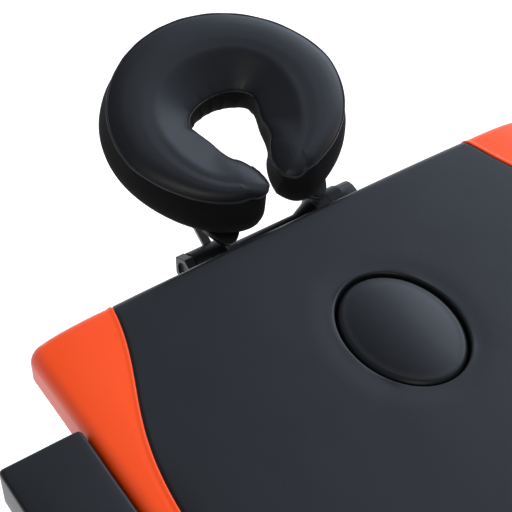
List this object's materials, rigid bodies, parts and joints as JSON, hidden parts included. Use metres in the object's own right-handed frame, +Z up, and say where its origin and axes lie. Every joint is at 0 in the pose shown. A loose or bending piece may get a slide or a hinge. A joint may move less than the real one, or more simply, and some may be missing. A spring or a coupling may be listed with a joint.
{
  "type": "folding massage table",
  "caption": "Portable massage table with padded vinyl top that folds in the middle, telescoping legs, tilting horseshoe headrest, face hole plug and side armrests.",
  "frame": {"origin": "on the floor, under the middle of the table's whole length, headrest included", "axes": "+Z up, +Y along the table towards the head end, +X across it, to the right of someone who faces the head end from the foot end"},
  "size_m": [0.841, 2.1132, 0.7681],
  "materials": {
    "vinyl_black": "satin",
    "vinyl_orange": "satin",
    "deck_board": "matte",
    "frame_aluminium": "satin",
    "leg_aluminium": "satin",
    "steel": "satin",
    "arm_steel": "satin",
    "black_plastic": "satin",
    "rubber": "matte",
    "webbing": "matte"
  },
  "bodies": {
    "foot_section": {"foot_pad": "vinyl_black", "foot_deck": "deck_board", "foot_rail_left": "frame_aluminium", "foot_rail_right": "frame_aluminium", "foot_rail_fold": "frame_aluminium", "foot_rail_end": "frame_aluminium", "hinge_leaf_foot": "steel", "foot_leg_stud_left": "steel", "foot_leg_stud_right": "steel", "foot_brace_bracket": "steel", "latch_base": "steel", "carry_handle": "webbing"},
    "head_section": {"head_pad": "vinyl_black", "head_deck": "deck_board", "head_rail_left": "frame_aluminium", "head_rail_right": "frame_aluminium", "head_rail_fold": "frame_aluminium", "head_rail_end": "frame_aluminium", "hinge_leaf_head": "steel", "head_leg_stud_left": "steel", "head_leg_stud_right": "steel", "head_brace_bracket": "steel", "latch_keeper": "steel"},
    "latch_lever": {"latch_lever": "steel"},
    "face_hole_plug": {"face_hole_plug": "vinyl_black"},
    "headrest_base": {"headrest_post_left": "black_plastic", "headrest_post_right": "black_plastic"},
    "headrest_clamp_knob": {"headrest_clamp_knob": "black_plastic"},
    "headrest_arms": {"headrest_yoke": "black_plastic", "headrest_arm_left": "arm_steel", "headrest_arm_right": "arm_steel"},
    "headrest_cam_lever": {"headrest_cam_lever": "black_plastic"},
    "headrest_platform": {"headrest_platform": "black_plastic"},
    "headrest_cushion": {"headrest_cushion": "vinyl_black"},
    "armrest_left": {"armrest_pad_left": "vinyl_black", "armrest_bracket_left": "steel"},
    "armrest_right": {"armrest_pad_right": "vinyl_black", "armrest_bracket_right": "steel"},
    "foot_legs": {"foot_leg_left": "leg_aluminium", "foot_leg_right": "leg_aluminium", "foot_leg_cross_tube": "leg_aluminium"},
    "foot_brace_upper": {"foot_brace_upper": "steel"},
    "foot_brace_lower": {"foot_brace_lower": "steel"},
    "foot_lower_leg_left": {"foot_lower_leg_left": "leg_aluminium", "foot_rubber_foot_left": "rubber"},
    "foot_lock_knob_left": {"foot_lock_knob_left": "black_plastic"},
    "foot_lower_leg_right": {"foot_lower_leg_right": "leg_aluminium", "foot_rubber_foot_right": "rubber"},
    "foot_lock_knob_right": {"foot_lock_knob_right": "black_plastic"},
    "head_legs": {"head_leg_left": "leg_aluminium", "head_leg_right": "leg_aluminium", "head_leg_cross_tube": "leg_aluminium"},
    "head_brace_upper": {"head_brace_upper": "steel"},
    "head_brace_lower": {"head_brace_lower": "steel"},
    "head_lower_leg_left": {"head_lower_leg_left": "leg_aluminium", "head_rubber_foot_left": "rubber"},
    "head_lock_knob_left": {"head_lock_knob_left": "black_plastic"},
    "head_lower_leg_right": {"head_lower_leg_right": "leg_aluminium", "head_rubber_foot_right": "rubber"},
    "head_lock_knob_right": {"head_lock_knob_right": "black_plastic"}
  },
  "joints": [
    {"name": "table_fold", "type": "hinge", "parent": "foot_section", "child": "head_section", "pos_m": [0, -0.13302, 0.5542], "axis": [-1, 0, 0], "range_deg": [0, 180]},
    {"name": "head_leg_fold", "type": "hinge", "parent": "head_section", "child": "head_legs", "pos_m": [0, 0.72998, 0.5784], "axis": [-1, 0, 0], "range_deg": [0, 90]},
    {"name": "head_brace_upper_turn", "type": "hinge", "parent": "head_section", "child": "head_brace_upper", "pos_m": [0.03, 0.37998, 0.5784], "axis": [-1, 0, 0], "range_deg": [0, 139.4]},
    {"name": "head_brace_lower_turn", "type": "hinge", "parent": "head_legs", "child": "head_brace_lower", "pos_m": [0.03, 0.72998, 0.2784], "axis": [1, 0, 0], "range_deg": [0, 130.6]},
    {"name": "head_lower_leg_slide_left", "type": "slide", "parent": "head_legs", "child": "head_lower_leg_left", "axis": [0, 0, -1], "range_m": [-0.06, 0.14]},
    {"name": "head_lock_pull_left", "type": "slide", "parent": "head_legs", "child": "head_lock_knob_left", "axis": [0, 1, 0], "range_m": [0, 0.006], "stiffness_N_per_m": 400},
    {"name": "head_lower_leg_slide_right", "type": "slide", "parent": "head_legs", "child": "head_lower_leg_right", "axis": [0, 0, -1], "range_m": [-0.06, 0.14]},
    {"name": "head_lock_pull_right", "type": "slide", "parent": "head_legs", "child": "head_lock_knob_right", "axis": [0, 1, 0], "range_m": [0, 0.006], "stiffness_N_per_m": 400},
    {"name": "foot_leg_fold", "type": "hinge", "parent": "foot_section", "child": "foot_legs", "pos_m": [0, -0.99602, 0.5784], "axis": [1, 0, 0], "range_deg": [0, 90]},
    {"name": "foot_brace_upper_turn", "type": "hinge", "parent": "foot_section", "child": "foot_brace_upper", "pos_m": [-0.03, -0.64602, 0.5784], "axis": [1, 0, 0], "range_deg": [0, 139.4]},
    {"name": "foot_brace_lower_turn", "type": "hinge", "parent": "foot_legs", "child": "foot_brace_lower", "pos_m": [-0.03, -0.99602, 0.2784], "axis": [-1, 0, 0], "range_deg": [0, 130.6]},
    {"name": "foot_lower_leg_slide_left", "type": "slide", "parent": "foot_legs", "child": "foot_lower_leg_left", "axis": [0, 0, -1], "range_m": [-0.06, 0.14]},
    {"name": "foot_lock_pull_left", "type": "slide", "parent": "foot_legs", "child": "foot_lock_knob_left", "axis": [0, -1, 0], "range_m": [0, 0.006], "stiffness_N_per_m": 400},
    {"name": "foot_lower_leg_slide_right", "type": "slide", "parent": "foot_legs", "child": "foot_lower_leg_right", "axis": [0, 0, -1], "range_m": [-0.06, 0.14]},
    {"name": "foot_lock_pull_right", "type": "slide", "parent": "foot_legs", "child": "foot_lock_knob_right", "axis": [0, -1, 0], "range_m": [0, 0.006], "stiffness_N_per_m": 400},
    {"name": "plug_lift", "type": "slide", "parent": "head_section", "child": "face_hole_plug", "axis": [0, 0, 1], "range_m": [0, 0.08]},
    {"name": "headrest_slide", "type": "slide", "parent": "head_section", "child": "headrest_base", "axis": [0, 1, 0], "range_m": [-0.01, 0.1]},
    {"name": "headrest_clamp_turn", "type": "hinge", "parent": "headrest_base", "child": "headrest_clamp_knob", "pos_m": [-0.1003, 0.84198, 0.5784], "axis": [-1, 0, 0], "continuous": true},
    {"name": "headrest_arm_tilt", "type": "hinge", "parent": "headrest_base", "child": "headrest_arms", "pos_m": [0, 0.84198, 0.5784], "axis": [1, 0, 0], "range_deg": [-40, 15]},
    {"name": "headrest_cam_swing", "type": "hinge", "parent": "headrest_arms", "child": "headrest_cam_lever", "pos_m": [0, 0.97022, 0.65157], "axis": [1, 0, 0], "range_deg": [0, 100]},
    {"name": "headrest_platform_tilt", "type": "hinge", "parent": "headrest_arms", "child": "headrest_platform", "pos_m": [0, 0.97022, 0.65157], "axis": [1, 0, 0], "range_deg": [-50, 0]},
    {"name": "headrest_cushion_lift", "type": "slide", "parent": "headrest_platform", "child": "headrest_cushion", "axis": [0, -0.4226, 0.9063], "range_m": [0, 0.05]},
    {"name": "armrest_slide_left", "type": "slide", "parent": "head_section", "child": "armrest_left", "axis": [-1, 0, 0], "range_m": [0, 0.06]},
    {"name": "armrest_slide_right", "type": "slide", "parent": "head_section", "child": "armrest_right", "axis": [1, 0, 0], "range_m": [0, 0.06]},
    {"name": "latch_swing", "type": "hinge", "parent": "foot_section", "child": "latch_lever", "pos_m": [0.2, -1.04532, 0.5864], "axis": [-1, 0, 0], "range_deg": [0, 110]}
  ],
  "couplings": [
    {"joint": "head_leg_fold", "follows": "table_fold", "ratio": 0.5},
    {"joint": "head_brace_upper_turn", "follows": "table_fold", "ratio": 0.77444},
    {"joint": "head_brace_lower_turn", "follows": "table_fold", "ratio": 0.72556},
    {"joint": "foot_leg_fold", "follows": "table_fold", "ratio": 0.5},
    {"joint": "foot_brace_upper_turn", "follows": "table_fold", "ratio": 0.77444},
    {"joint": "foot_brace_lower_turn", "follows": "table_fold", "ratio": 0.72556}
  ]
}
